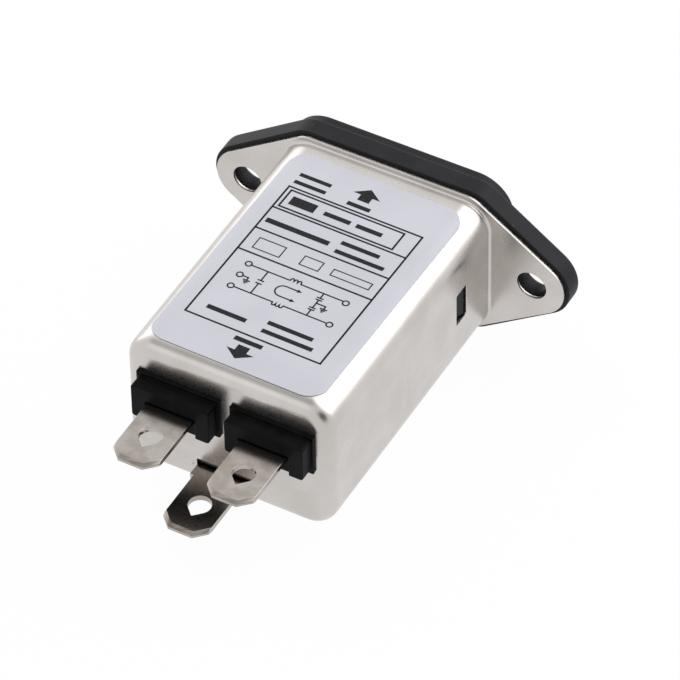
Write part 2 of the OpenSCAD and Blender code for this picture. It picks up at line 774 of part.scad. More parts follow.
module insulating_liner()
{
    w = can_w - 2 * (sheet_t + liner_fit);
    h = can_h - 2 * (sheet_t + liner_fit);
    r = can_corner_r - sheet_t - liner_fit;
    color("lightyellow") upright() translate([0, 0, liner_back]) linear_extrude(liner_front - liner_back)
        difference() {
            rounded_rect(w, h, r);
            rounded_rect(w - 2 * liner_t, h - 2 * liner_t, r - liner_t);
        }
}

shield_can();
rating_label();
inlet_housing();
line_pin();
neutral_pin();
earth_pin();
line_insulator();
neutral_insulator();
line_terminal();
neutral_terminal();
earth_terminal();
choke_core();
choke_divider();
line_winding();
neutral_winding();
x_capacitor();
x_capacitor_leads();
line_y_capacitor();
neutral_y_capacitor();
line_y_capacitor_leads();
neutral_y_capacitor_leads();
earth_wire();
insulating_liner();
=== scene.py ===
import math

import bmesh
import bpy
import numpy as np
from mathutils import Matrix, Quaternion, Vector


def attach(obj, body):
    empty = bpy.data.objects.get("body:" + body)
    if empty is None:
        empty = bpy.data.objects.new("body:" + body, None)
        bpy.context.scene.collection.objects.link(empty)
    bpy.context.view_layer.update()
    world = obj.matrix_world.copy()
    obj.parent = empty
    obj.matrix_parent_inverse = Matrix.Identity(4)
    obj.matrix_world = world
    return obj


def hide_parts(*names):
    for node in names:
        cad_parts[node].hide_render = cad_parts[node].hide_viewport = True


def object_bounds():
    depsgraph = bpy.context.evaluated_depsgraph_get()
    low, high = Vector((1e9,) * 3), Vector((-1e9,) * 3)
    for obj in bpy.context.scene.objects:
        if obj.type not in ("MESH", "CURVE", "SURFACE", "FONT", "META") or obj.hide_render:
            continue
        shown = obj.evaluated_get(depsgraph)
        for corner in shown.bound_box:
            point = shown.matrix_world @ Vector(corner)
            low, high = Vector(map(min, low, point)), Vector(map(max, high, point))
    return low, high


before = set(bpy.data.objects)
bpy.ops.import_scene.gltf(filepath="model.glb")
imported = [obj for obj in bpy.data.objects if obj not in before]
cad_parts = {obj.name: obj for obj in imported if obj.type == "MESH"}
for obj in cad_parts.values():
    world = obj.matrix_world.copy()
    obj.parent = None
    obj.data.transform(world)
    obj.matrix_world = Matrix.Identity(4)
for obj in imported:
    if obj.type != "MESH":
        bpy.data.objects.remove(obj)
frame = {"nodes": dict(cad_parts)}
nodes = frame["nodes"]
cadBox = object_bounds()
mm = 0.001
print("frame loaded:", len(nodes), "nodes")


# Quads between neighbouring rows of a grid of points; the columns close into a ring
def ringQuads(rows, columns):
    i = np.arange(rows - 1)[:, None] * columns
    j = np.arange(columns)[None, :]
    k = (j + 1) % columns
    return np.stack([i + j, i + k, i + columns + k, i + columns + j], -1).reshape(-1, 4)


# Mesh object in metres from points in millimetres and a list of faces
def meshObject(name, points, faces):
    mesh = bpy.data.meshes.new(name)
    mesh.from_pydata((np.asarray(points, float).reshape(-1, 3) * mm).tolist(), [], [list(map(int, f)) for f in faces])
    mesh.validate()
    piece = bpy.data.objects.new(name, mesh)
    bpy.context.scene.collection.objects.link(piece)
    return piece


# Several (points, faces) parts as one, with the faces renumbered by the points before them
def joinParts(parts):
    starts = np.cumsum([0] + [len(points) for points, faces in parts])
    faces = [[i + start for i in face] for start, (points, group) in zip(starts, parts) for face in group]
    return np.concatenate([points for points, faces in parts]), faces


# Turns every face outwards: the sum of normal times distance from the middle has to be positive
def faceOutwards(piece):
    bm = bmesh.new()
    bm.from_mesh(piece.data)
    bmesh.ops.recalc_face_normals(bm, faces=bm.faces)
    middle = sum((v.co for v in bm.verts), Vector()) / len(bm.verts)
    if sum(f.calc_area() * f.normal.dot(f.calc_center_median() - middle) for f in bm.faces) < 0:
        bmesh.ops.reverse_faces(bm, faces=bm.faces)
    bm.to_mesh(piece.data)
    bm.free()


# Modifier with its settings
def modify(piece, kind, **settings):
    modifier = piece.modifiers.new(kind.title(), kind)
    for key, value in settings.items():
        setattr(modifier, key, value)
    return modifier


# Puts the result of the modifiers into the mesh itself
def settle(piece):
    bpy.context.view_layer.update()
    done = bpy.data.meshes.new_from_object(piece.evaluated_get(bpy.context.evaluated_depsgraph_get()))
    piece.modifiers.clear()
    piece.data = done


# Joins faces that lie in one plane, so that a bevel meets only true edges
def joinFlats(piece, degrees=0.4, gap=1e-6):
    bm = bmesh.new()
    bm.from_mesh(piece.data)
    bmesh.ops.remove_doubles(bm, verts=bm.verts, dist=gap)
    bmesh.ops.dissolve_limit(bm, angle_limit=math.radians(degrees), verts=bm.verts, edges=bm.edges)
    bm.to_mesh(piece.data)
    bm.free()


# Small rounded edges and smooth faces
def softEdges(piece, width, segments=2, angle=32):
    modify(piece, "BEVEL", width=width * mm, segments=segments, limit_method="ANGLE",
           angle_limit=math.radians(angle), use_clamp_overlap=False, miter_outer="MITER_ARC")
    settle(piece)
    piece.data.polygons.foreach_set("use_smooth", [True] * len(piece.data.polygons))
    modify(piece, "WEIGHTED_NORMAL", keep_sharp=True, weight=60)
    settle(piece)


# The node's own shape as a new piece that stands for it
def dressedCopy(nodeName, width, segments=2, angle=32, flats=0.4):
    piece = bpy.data.objects.new(nodeName + "_dressed", nodes[nodeName].data.copy())
    bpy.context.scene.collection.objects.link(piece)
    piece.data.materials.clear()
    joinFlats(piece, flats)
    softEdges(piece, width, segments, angle)
    return piece


# Puts a piece on the object: it takes its finish and rides with the body, and the nodes it stands for are hidden
def fit(piece, finish, slotName, *stands):
    piece.data.materials.clear()
    piece.data.materials.append(finish)
    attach(piece, "root")
    if stands:
        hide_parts(*stands)


# A node's output; + - * / add Math nodes, with plain numbers on either side
class Signal:
    def __init__(self, nodes, socket):
        self.nodes = nodes
        self.socket = socket

    def maths(self, operation, *others):
        return self.nodes.node("ShaderNodeMath", dict(operation=operation), (self, *others))

    def __add__(self, other):
        return self.maths("ADD", other)

    def __sub__(self, other):
        return self.maths("SUBTRACT", other)

    def __rsub__(self, other):
        return self * -1 + other

    def __mul__(self, other):
        return self.maths("MULTIPLY", other)

    __radd__ = __add__
    __rmul__ = __mul__

    # 0 below low, 1 above high, smooth between them; high may be the smaller one
    def between(self, low, high):
        return self.nodes.node("ShaderNodeMapRange", dict(interpolation_type="SMOOTHSTEP"),
                               {"Value": self, "From Min": low, "From Max": high})


# The nodes of any tree, a material's or the world's
class NodeTree:
    def __init__(self, tree):
        self.tree = tree

    # Any node: its settings first, then values or links for its sockets by number or name
    def node(self, kind, settings={}, inputs=(), output=0):
        made = self.tree.nodes.new(kind)
        for key, value in settings.items():
            setattr(made, key, value)
        for key, value in (inputs.items() if isinstance(inputs, dict) else enumerate(inputs)):
            if isinstance(value, Signal):
                self.link(value, made.inputs[key])
            else:
                made.inputs[key].default_value = value
        return Signal(self, made.outputs[output])

    def link(self, signal, socket):
        self.tree.links.new(signal.socket, socket)

    # 1 for what the camera sees and for what metal and glass show
    def seenRays(self):
        camera, glossy, through = (self.node("ShaderNodeLightPath", output=name)
                                   for name in ("Is Camera Ray", "Is Glossy Ray", "Is Transmission Ray"))
        return (camera + glossy + through).maths("MINIMUM", 1.0)


# A material: constants go straight on the shader's sockets, patterns are in millimetres
class Finish(NodeTree):
    def __init__(self, name, **constants):
        self.material = bpy.data.materials.new(name)
        self.material.use_nodes = True
        super().__init__(self.material.node_tree)
        self.shader = self.tree.nodes["Principled BSDF"]
        for key, value in constants.items():
            self.shader.inputs[socketNames[key]].default_value = value
        self.object = self.node("ShaderNodeTexCoord", output="Object")

    # First colour at factor 0, second at 1
    def blend(self, factor, first, second):
        first, second = ((*c, 1) if isinstance(c, tuple) and len(c) == 3 else c for c in (first, second))
        return self.node("ShaderNodeMix", dict(data_type="RGBA"), {0: factor, 6: first, 7: second}, 2)

    # Noise with features of about the given size in millimetres, from 0 to 1
    def noise(self, size, detail=3, rough=0.55, stretch=(1, 1, 1)):
        place = self.node("ShaderNodeMapping", {}, {"Vector": self.object, "Scale": stretch})
        return self.node("ShaderNodeTexNoise", {}, {"Vector": place, "Scale": 1 / (size * mm), "Detail": detail,
                                                    "Roughness": rough})

    # Distance to the nearest of scattered points, size millimetres apart
    def cells(self, size):
        return self.node("ShaderNodeTexVoronoi", {}, {"Vector": self.object, "Scale": 1 / (size * mm)}, "Distance")

    # One coordinate of the surface point, in millimetres
    def along(self, axis):
        return self.node("ShaderNodeSeparateXYZ", {}, (self.object,), "XYZ".index(axis)) * (1 / mm)

    # Height in millimetres of a pattern that runs from 0 to 1
    def bump(self, height, depth, strength=1.0, under=None):
        inputs = {"Height": height, "Distance": depth * mm, "Strength": strength}
        if under:
            inputs["Normal"] = under
        return self.node("ShaderNodeBump", {}, inputs)

    # Links what changes over the surface and gives the material
    def wear(self, **links):
        for key, value in links.items():
            self.link(value, self.shader.inputs[socketNames[key]])
        return self.material


socketNames = dict(colour="Base Color", roughness="Roughness", metallic="Metallic", specular="Specular IOR Level",
                   normal="Normal")


# Satin nickel on drawn steel: fine speckled grain, faint clouds
nickelLook = dict(pale=(0.61, 0.58, 0.56), dull=(0.55, 0.52, 0.495))


def nickelFinish(look):
    nickel = Finish("nickelPlate", metallic=1.0)
    clouds = nickel.noise(7, 3)
    mottle = nickel.noise(0.7, 4, 0.6)
    grain = nickel.noise(0.16, 2, 0.7)
    colour = nickel.blend(clouds.between(0.32, 0.68), look["pale"], look["dull"])
    colour = nickel.blend(grain.between(0.55, 0.75) * 0.35, colour, look["dull"])
    roughness = 0.22 + mottle * 0.08 + clouds * 0.04
    waves = nickel.bump(nickel.noise(9, 2, 0.4), 0.04)
    skin = nickel.bump(grain * 0.5 + mottle, 0.0022, 1.0, waves)
    return nickel.wear(colour=colour, roughness=roughness, normal=skin)


# Matte black moulding with a fine eroded skin, a little dust and paler rubbed patches
mouldingLook = dict(black=(0.008, 0.008, 0.010), rubbed=(0.015, 0.015, 0.018), dust=(0.16, 0.155, 0.15))


def mouldingFinish(look):
    moulding = Finish("blackMoulding", specular=0.17)
    patches = moulding.noise(4, 4)
    skin = moulding.noise(0.11, 2, 0.6)
    specks = moulding.cells(0.9).between(0.16, 0.05) * moulding.noise(2.2, 2).between(0.58, 0.72)
    colour = moulding.blend(patches.between(0.4, 0.75), look["black"], look["rubbed"])
    colour = moulding.blend(specks * 0.5, colour, look["dust"])
    return moulding.wear(colour=colour, roughness=0.42 + patches * 0.16, normal=moulding.bump(skin, 0.012))


# Smoother, slightly bluish black of the bushings
bushingLook = dict(black=(0.0035, 0.0035, 0.004), pale=(0.007, 0.007, 0.0085))


def bushingFinish(look):
    bushing = Finish("bushingBlack", specular=0.06)
    patches = bushing.noise(2.5, 3)
    skin = bushing.noise(0.15, 2, 0.6)
    colour = bushing.blend(patches.between(0.4, 0.7), look["black"], look["pale"])
    return bushing.wear(colour=colour, roughness=0.36 + patches * 0.12, normal=bushing.bump(skin, 0.008))


# Tinned brass blades: warm grey, rolled along the blade, with pits and specks, and painted
# shade where they run into the can
tabLook = dict(pale=(0.47, 0.43, 0.40), dull=(0.36, 0.325, 0.29), speck=(0.17, 0.15, 0.125),
               shade=(0.02, 0.018, 0.016), shadeFrom=40.3, shadeFull=39.9)


def tabFinish(look):
    tab = Finish("tinnedTab", metallic=1.0)
    rolled = tab.noise(0.5, 4, 0.6, (1, 0.12, 1))
    clouds = tab.noise(2.2, 3)
    specks = tab.cells(0.42).between(0.14, 0.06) * tab.noise(0.9, 2).between(0.5, 0.62)
    colour = tab.blend(clouds.between(0.35, 0.7), look["pale"], look["dull"])
    colour = tab.blend(rolled.between(0.5, 0.8) * 0.3, colour, look["dull"])
    colour = tab.blend(specks * 0.8, colour, look["speck"])
    fine = tab.noise(0.12, 2, 0.7)
    skin = tab.bump(fine * 0.6 + rolled, 0.004)
    # Painted shade: the colour goes near black from just outside the can's rear face to just inside it
    paintedShadeMask = tab.along("Y").between(look["shadeFrom"], look["shadeFull"])
    colour = tab.blend(paintedShadeMask * 0.93, colour, look["shade"])
    return tab.wear(colour=colour, roughness=0.17 + clouds * 0.08 + specks * 0.2, normal=skin)


# Silver-grey film of the label, with a very fine grain
filmLook = dict(grey=(0.63, 0.635, 0.69), dim=(0.565, 0.57, 0.62))


def filmFinish(look):
    film = Finish("labelFilm", specular=0.4)
    clouds = film.noise(10, 2)
    grain = film.noise(0.2, 2, 0.7)
    colour = film.blend(clouds.between(0.3, 0.7) * 0.6 + grain * 0.3, look["grey"], look["dim"])
    return film.wear(colour=colour, roughness=0.38 + grain * 0.1, normal=film.bump(grain, 0.004))


# Near-black print with slightly thin places
inkLook = dict(full=(0.010, 0.010, 0.012), thin=(0.026, 0.026, 0.030))


def inkFinish(look):
    ink = Finish("printInk", specular=0.12)
    thin = ink.noise(0.3, 3, 0.6)
    colour = ink.blend(thin.between(0.35, 0.75), look["full"], look["thin"])
    return ink.wear(colour=colour, roughness=0.4 + thin * 0.15)


# Hidden metal and plastic parts: a two-tone pattern, its size, its roughness and its skin
def innerFinish(name, light, dark, size, roughness, depth=0.01, stretch=(1, 1, 1), **constants):
    inner = Finish(name, **constants)
    patches = inner.noise(size, 4, 0.55, stretch)
    fine = inner.noise(size / 9, 2, 0.6, stretch)
    colour = inner.blend(patches.between(0.3, 0.7), light, dark)
    colour = inner.blend(fine.between(0.62, 0.8) * 0.4, colour, dark)
    return inner.wear(colour=colour, roughness=roughness + patches * 0.12, normal=inner.bump(fine, depth))


nickelPlate = nickelFinish(nickelLook)
blackMoulding = mouldingFinish(mouldingLook)
bushingBlack = bushingFinish(bushingLook)
tinnedTab = tabFinish(tabLook)
labelFilm = filmFinish(filmLook)
printInk = inkFinish(inkLook)
innerFinishes = dict(
    inlet_pin=innerFinish("pinNickel", (0.66, 0.62, 0.55), (0.5, 0.45, 0.37), 2.5, 0.2, 0.004, (1, 0.2, 1),
                          metallic=1.0),
    ferrite=innerFinish("coreCoat", (0.06, 0.15, 0.08), (0.035, 0.09, 0.05), 1.6, 0.36, 0.02),
    divider_card=innerFinish("dividerCard", (0.62, 0.56, 0.42), (0.5, 0.44, 0.32), 1.2, 0.6, 0.02),
    enamelled_copper=innerFinish("enamelledCopper", (0.62, 0.22, 0.08), (0.42, 0.13, 0.045), 2.0, 0.16, 0.004,
                                 metallic=0.85),
    x_capacitor_case=innerFinish("capacitorCase", (0.78, 0.55, 0.06), (0.66, 0.44, 0.045), 3.0, 0.34, 0.008),
    y_capacitor_coat=innerFinish("capacitorCoat", (0.05, 0.17, 0.36), (0.03, 0.11, 0.25), 1.8, 0.34, 0.02),
    tinned_wire=innerFinish("tinnedWire", (0.7, 0.68, 0.64), (0.5, 0.48, 0.45), 1.0, 0.24, 0.004, metallic=1.0),
    earth_insulation=innerFinish("wireSleeve", (0.06, 0.32, 0.07), (0.045, 0.24, 0.05), 2.0, 0.4, 0.006),
    liner_film=innerFinish("linerFilm", (0.72, 0.66, 0.5), (0.62, 0.56, 0.42), 5.0, 0.3, 0.006))
print("finishes made")


# Steel sheet drawn into the can and its flange, in millimetres; the runs are the distances
# from the middle to the corners' centres
can = dict(runX=10.5, runZ=6.55, cornerR=3.6, rearR=2.0, rootR=0.4, length=40.0, sheet=0.6,
           windowFrom=5.8, windowLong=2.5, windowHigh=5.0, windowR=0.25,
           openingAt=6.4, openingZ=2.85, openingWide=9.4, openingHigh=4.2, openingR=0.15,
           slotAt=0.6, slotWide=7.5, slotLow=-7.55, slotTop=-5.9,
           throughSides=(-30, 30), throughRear=(35, 45), throughFlange=(-3, 3),
           dimpleAt=5.7, dimpleZ=-7.05, dimpleLong=2.3, dimpleWide=1.1, dimpleHigh=0.25, dimpleSink=0.02)
flange = dict(holeAt=20.0, holeR=2.0, earAt=20.1, earR=4.3, bluntX=11.0, bluntZ=7.85, bluntR=3.05)


# A quarter of a ring, from the +X axis to the +Z axis, carried to all four quarters
def fourfold(quarter):
    flipX, flipZ = np.array([-1, 1]), np.array([1, -1])
    return np.concatenate([quarter[:-1], (quarter * flipX)[:0:-1], -quarter[:-1], (quarter * flipZ)[:0:-1]])


def arcPoints(start, stop, count, endpoint=True):
    angle = np.radians(np.linspace(start, stop, count, endpoint=endpoint))
    return np.stack([np.cos(angle), np.sin(angle)], -1)


# Ring round the can: corner axes and outward directions, so axis + offset * direction is
# the outline at any offset. 8 points up the side, 16 round the corner, 12 along the top.
def canRing(runX, runZ):
    side = np.stack([np.full(8, runX), np.linspace(0, runZ, 8, endpoint=False)], -1)
    corner = np.tile([runX, runZ], (16, 1))
    top = np.stack([np.linspace(runX, 0, 12), np.full(12, runZ)], -1)
    out = np.concatenate([np.tile([1.0, 0.0], (8, 1)), arcPoints(0, 90, 16, False), np.tile([0.0, 1.0], (12, 1))])
    return fourfold(np.concatenate([side, corner, top])), fourfold(out)


# Outline of the flange with as many points: ear arc, common tangent, blunt corner, straight top
def flangeRing(f):
    span = np.array([f["bluntX"] - f["earAt"], f["bluntZ"]])
    length = np.linalg.norm(span)
    normal = math.degrees(math.atan2(span[1], span[0]) - math.acos((f["earR"] - f["bluntR"]) / length))
    ear = [f["earAt"], 0] + f["earR"] * arcPoints(0, normal, 13)
    blunt = [f["bluntX"], f["bluntZ"]] + f["bluntR"] * arcPoints(normal, 90, 9)
    tangent = ear[-1] + (blunt[0] - ear[-1]) * np.array([[1 / 3], [2 / 3]])
    top = np.stack([np.linspace(f["bluntX"], 0, 13)[1:], np.full(12, blunt[-1, 1])], -1)
    return fourfold(np.concatenate([ear, tangent, blunt, top]))


# Profile of the outer face as (offset from the corner axis, Y): rear wall, quarter bend
# of the rear radius, straight wall, hollow quarter bend of the root radius
def canProfile(c):
    flat = c["cornerR"] - c["rearR"]
    rear = np.array([[0.4, c["length"]], [flat / 2 + 0.2, c["length"]]])
    turn = arcPoints(90, 0, 11)
    bend = [flat, c["length"] - c["rearR"]] + c["rearR"] * turn
    wall = np.stack([np.full(6, c["cornerR"]), np.linspace(c["length"] - c["rearR"], c["rootR"], 8)[1:-1]], -1)
    root = [c["cornerR"] + c["rootR"], c["rootR"]] - c["rootR"] * arcPoints(0, 90, 7)
    return np.concatenate([rear, bend, wall, root])


# Prism over a ring of points, from one place on an axis to another
def prism(ring, axis, reach):
    count = len(ring)
    faces = ringQuads(2, count).tolist() + [list(range(count)), list(range(count, 2 * count))[::-1]]
    return np.concatenate([np.insert(ring, axis, value, axis=1) for value in reach]), faces


# Rounded rectangle by its middle, full width and height, and corner radius: one quarter is
# centre + radius * (cos, sin), the others are its mirror images
def roundedRing(middle, wide, high, radius):
    corners = np.array([[1, 1], [-1, 1], [-1, -1], [1, -1]])
    quarter = np.array([wide / 2 - radius, high / 2 - radius]) + arcPoints(0, 90, 5) * radius
    return np.concatenate([(quarter * s)[::int(s[0] * s[1])] for s in corners]) + np.asarray(middle)


def joinedCutters(name, parts):
    piece = meshObject(name, *joinParts(parts))
    bm = bmesh.new()
    bm.from_mesh(piece.data)
    bmesh.ops.recalc_face_normals(bm, faces=bm.faces)
    bm.to_mesh(piece.data)
    bm.free()
    return piece


# Oblong pressed dome: rings of an oblong shrink towards its spine while the height
# rises as a smooth step from the wall to the crown
def oblongDome(c):
    t = np.linspace(0, 1, 7)[:, None, None]
    turn = arcPoints(0.1, 360.1, 32, False)[None]
    spine = np.sign(turn[..., :1]) * (c["dimpleLong"] - c["dimpleWide"]) / 2
    ring = turn * (c["dimpleWide"] / 2) * (1 - t * 0.9)
    plan = ring + np.concatenate([spine, spine * 0], -1)
    rise = (c["dimpleHigh"] - c["dimpleSink"] / 2) * (t * t * (3 - 2 * t))
    height = c["length"] - c["dimpleSink"] + rise * np.ones_like(plan[..., :1])
    points = np.concatenate([plan[..., :1] + c["dimpleAt"], height, plan[..., 1:] + c["dimpleZ"]], -1)
    rows, columns = points.shape[:2]
    crown = list(range((rows - 1) * columns, rows * columns))
    return points.reshape(-1, 3), ringQuads(rows, columns).tolist() + [crown]


# Windows in the side walls, slot and openings in the rear wall, screw holes in the flange
def canCutters(c, f):
    window = roundedRing((c["windowFrom"] + c["windowLong"] / 2, 0), c["windowLong"], c["windowHigh"], c["windowR"])
    slot = roundedRing((c["slotAt"], (c["slotLow"] + c["slotTop"]) / 2), c["slotWide"], c["slotTop"] - c["slotLow"],
                       c["openingR"])
    parts = [prism(window, 0, c["throughSides"]), prism(slot, 1, c["throughRear"])]
    for side in (-1, 1):
        opening = roundedRing((side * c["openingAt"], c["openingZ"]), c["openingWide"], c["openingHigh"],
                              c["openingR"])
        hole = [side * f["holeAt"], 0] + f["holeR"] * arcPoints(0, 360, 64, False)
        parts += [prism(opening, 1, c["throughRear"]), prism(hole, 1, c["throughFlange"])]
    return joinedCutters("cutters", parts)


# The can is corner axis + profile offset * outward direction at the profile's depth; the flange
# goes straight from the can's root to its own outline, and the sheet's thickness goes inwards
def makeCan(c, f):
    axes, out = canRing(c["runX"], c["runZ"])
    profile = canProfile(c)
    plan = axes[None] + profile[:, None, :1] * out[None]
    depth = np.broadcast_to(profile[:, None, 1:], plan.shape[:2] + (1,))
    rows = np.concatenate([plan[..., :1], depth, plan[..., 1:]], -1)
    rim = flangeRing(f)
    inner = rows[-1][:, [0, 2]]
    ledge = np.stack([np.insert(inner + (rim - inner) * s, 1, 0.0, axis=1) for s in (0.5, 1.0)])
    points = np.concatenate([rows, ledge])
    count, columns = points.shape[:2]
    piece = meshObject("drawn_can", points, ringQuads(count, columns).tolist() + [list(range(columns))[::-1]])
    faceOutwards(piece)
    if piece.data.polygons[-1].normal.y < 0:
        piece.data.flip_normals()
    modify(piece, "SOLIDIFY", thickness=c["sheet"] * mm, offset=-1, use_even_offset=True)
    tools = canCutters(c, f)
    modify(piece, "BOOLEAN", object=tools, operation="DIFFERENCE", solver="EXACT")
    settle(piece)
    bpy.data.objects.remove(tools)
    joinFlats(piece, 0.3)
    softEdges(piece, 0.07, 2)
    return piece


def makeDimple(c):
    dome = meshObject("dimple", *oblongDome(c))
    faceOutwards(dome)
    dome.data.polygons.foreach_set("use_smooth", [True] * len(dome.data.polygons))
    return dome


drawnCan = makeCan(can, flange)
fit(drawnCan, nickelPlate, "nickel_can", "shield_can")
fit(makeDimple(can), nickelPlate, "nickel_can")
print("can drawn:", len(drawnCan.data.polygons), "faces")


# Rounded edges of the moulded parts and the blades, in millimetres
edges = dict(inlet_housing=0.12, line_insulator=0.13, neutral_insulator=0.13,
             line_terminal=0.06, neutral_terminal=0.06, earth_terminal=0.06)
fit(dressedCopy("inlet_housing", edges["inlet_housing"], 2), blackMoulding, "black_moulding", "inlet_housing")
for name in ("line_insulator", "neutral_insulator"):
    fit(dressedCopy(name, edges[name], 3), bushingBlack, "black_insulator", name)
for name in ("line_terminal", "neutral_terminal", "earth_terminal"):
    fit(dressedCopy(name, edges[name], 2, 20), tinnedTab, "tinned_tab", name)
print("mouldings and blades dressed")


label = dict(top=10.25, middle=20.1, turn=-0.9, edge=0.03, line=0.26, lift=0.012)


# Place on the label: u runs across to the right with the terminals towards the reader, v
# along the can from the flange; the sheet's own slight turn is about its middle
def onLabel(points):
    flat = np.asarray(points, float) * [-1, 1] - [0, label["middle"]]
    angle = math.radians(label["turn"])
    turn = np.array([[math.cos(angle), math.sin(angle)], [-math.sin(angle), math.cos(angle)]])
    flat = flat @ turn + [0, label["middle"]]
    return np.insert(flat, 2, label["top"] + label["lift"], axis=1)


# Flat strip of constant width along a polyline: each point goes both ways along the
# mitre, the mean of the neighbouring normals divided by the cosine to them
def strip(path, width, closed=False):
    path = np.asarray(path, float)
    if closed:
        before, after = np.roll(path, 1, 0), np.roll(path, -1, 0)
    else:
        before = np.concatenate([2 * path[:1] - path[1:2], path[:-1]])
        after = np.concatenate([path[1:], 2 * path[-1:] - path[-2:-1]])
    first = (path - before) / np.linalg.norm(path - before, axis=1, keepdims=True)
    second = (after - path) / np.linalg.norm(after - path, axis=1, keepdims=True)
    normal = (first + second)[:, ::-1] * [-1, 1]
    normal /= np.linalg.norm(normal, axis=1, keepdims=True)
    mitre = normal / np.maximum((normal * (first[:, ::-1] * [-1, 1])).sum(1, keepdims=True), 0.35)
    points = np.concatenate([path + mitre * width / 2, path - mitre * width / 2])
    n = len(path)
    i = np.arange(n if closed else n - 1)
    j = (i + 1) % n
    return points, np.stack([i, j, j + n, i + n], -1).tolist()


# Filled bar and outlined box between two corners
def bar(u0, v0, u1, v1):
    return np.array([[u0, v0], [u1, v0], [u1, v1], [u0, v1]]), [[0, 1, 2, 3]]


def boxLine(u0, v0, u1, v1, width):
    return strip([(u0, v0), (u1, v0), (u1, v1), (u0, v1)], width, True)


def polygonPrint(points):
    return np.asarray(points, float), [list(range(len(points)))]


# Centre + radius * (cos, sin), without the last point where the circle is full
def circlePath(u, v, radius, start=0, stop=360, count=24):
    full = abs(stop - start) >= 360
    return [u, v] + radius * arcPoints(start, stop, count, not full)


# What is printed, by corners in millimetres on the label
printPlan = dict(
    frame=(-9.5, 8.05, 9.15, 32.75), header=(-8.9, 8.55, 6.95, 11.65), rows=(12.15, 16.25, 20.4),
    arrowUp=[(-0.35, 3.8), (1.55, 5.1), (0.5, 5.1), (0.5, 6.1), (-1.1, 6.1), (-1.1, 5.1), (-2.15, 5.1)],
    arrowDown=[(-0.95, 34.6), (0.65, 34.6), (0.65, 35.6), (1.7, 35.6), (-0.2, 36.9), (-2.05, 35.6), (-0.95, 35.6)],
    bars=[(-8.1, 9.35, -4.6, 10.85), (-3.4, 9.8, 0.3, 10.5), (1.1, 9.8, 4.7, 10.5),
          (-9.4, 5.3, -5.0, 5.9), (-9.4, 6.7, -5.0, 7.3), (-1.9, 6.8, 1.3, 7.45), (-2.0, 33.45, 1.8, 34.15),
          (-9.0, 14.1, -0.2, 14.9), (1.0, 13.25, 6.3, 13.9), (1.0, 14.85, 7.8, 15.5),
          (-7.6, 30.45, -2.2, 31.15), (0.2, 29.4, 6.4, 30.05), (0.2, 30.9, 7.2, 31.55)],
    fields=[(-8.0, 17.6, -4.3, 19.5), (-1.6, 17.7, 1.0, 19.3), (2.6, 18.0, 7.9, 19.1)], fieldLine=0.16)


def makePrint(plan, wiring):
    line = label["line"]
    left, right = plan["frame"][0], plan["frame"][2]
    parts = [boxLine(*plan["frame"], line)]
    parts += [strip([(left, v), (right, v)], line) for v in plan["rows"]]
    parts.append(boxLine(*plan["header"], line))
    parts += [polygonPrint(plan["arrowUp"]), polygonPrint(plan["arrowDown"])]
    parts += [bar(*corners) for corners in plan["bars"]]
    parts += [boxLine(*corners, plan["fieldLine"]) for corners in plan["fields"]]
    points, faces = joinParts(parts + circuitPrint(wiring))
    piece = meshObject("label_print", onLabel(points), faces)
    bm = bmesh.new()
    bm.from_mesh(piece.data)
    bm.normal_update()
    bmesh.ops.reverse_faces(bm, faces=[face for face in bm.faces if face.normal.z < 0])
    bm.to_mesh(piece.data)
    bm.free()
    return piece


# The circuit: rings at the ends, wires with their coil's side, capacitors as (u, plate pairs),
# lines that end in an earth, and the curve that couples the windings
circuit = dict(
    line=0.2, ring=0.4, rings=[(-6.9, 22.2), (-6.9, 24.3), (-6.9, 26.45), (6.7, 22.4), (6.8, 26.5)],
    wires=[(22.25, -1), (26.45, 1)], wireFrom=-6.45, coilFrom=-1.9, coilTo=0.9, wireTo=6.3,
    loops=(-0.85, -0.35, 0.15), loopSize=(0.25, 0.45),
    capacitors=[(-4.15, [(24.0, 24.55)]), (3.6, [(23.15, 23.5), (25.0, 25.35)])], plate=0.45,
    earthed=[[(3.6, 24.1), (4.9, 24.1), (4.9, 24.6)], [(-6.45, 24.3), (-5.7, 24.3), (-5.7, 24.8)]],
    earthBars=(0.5, 0.32, 0.14), earthStep=0.25,
    curveIn=[(0.7, 23.4), (-0.9, 23.4)], curveMiddle=(-1.0, 24.3), curveR=0.9, curveOut=[(-0.9, 25.2), (0.8, 25.2)],
    arrowFrom=0.6, arrowTo=1.25, arrowHalf=0.28)


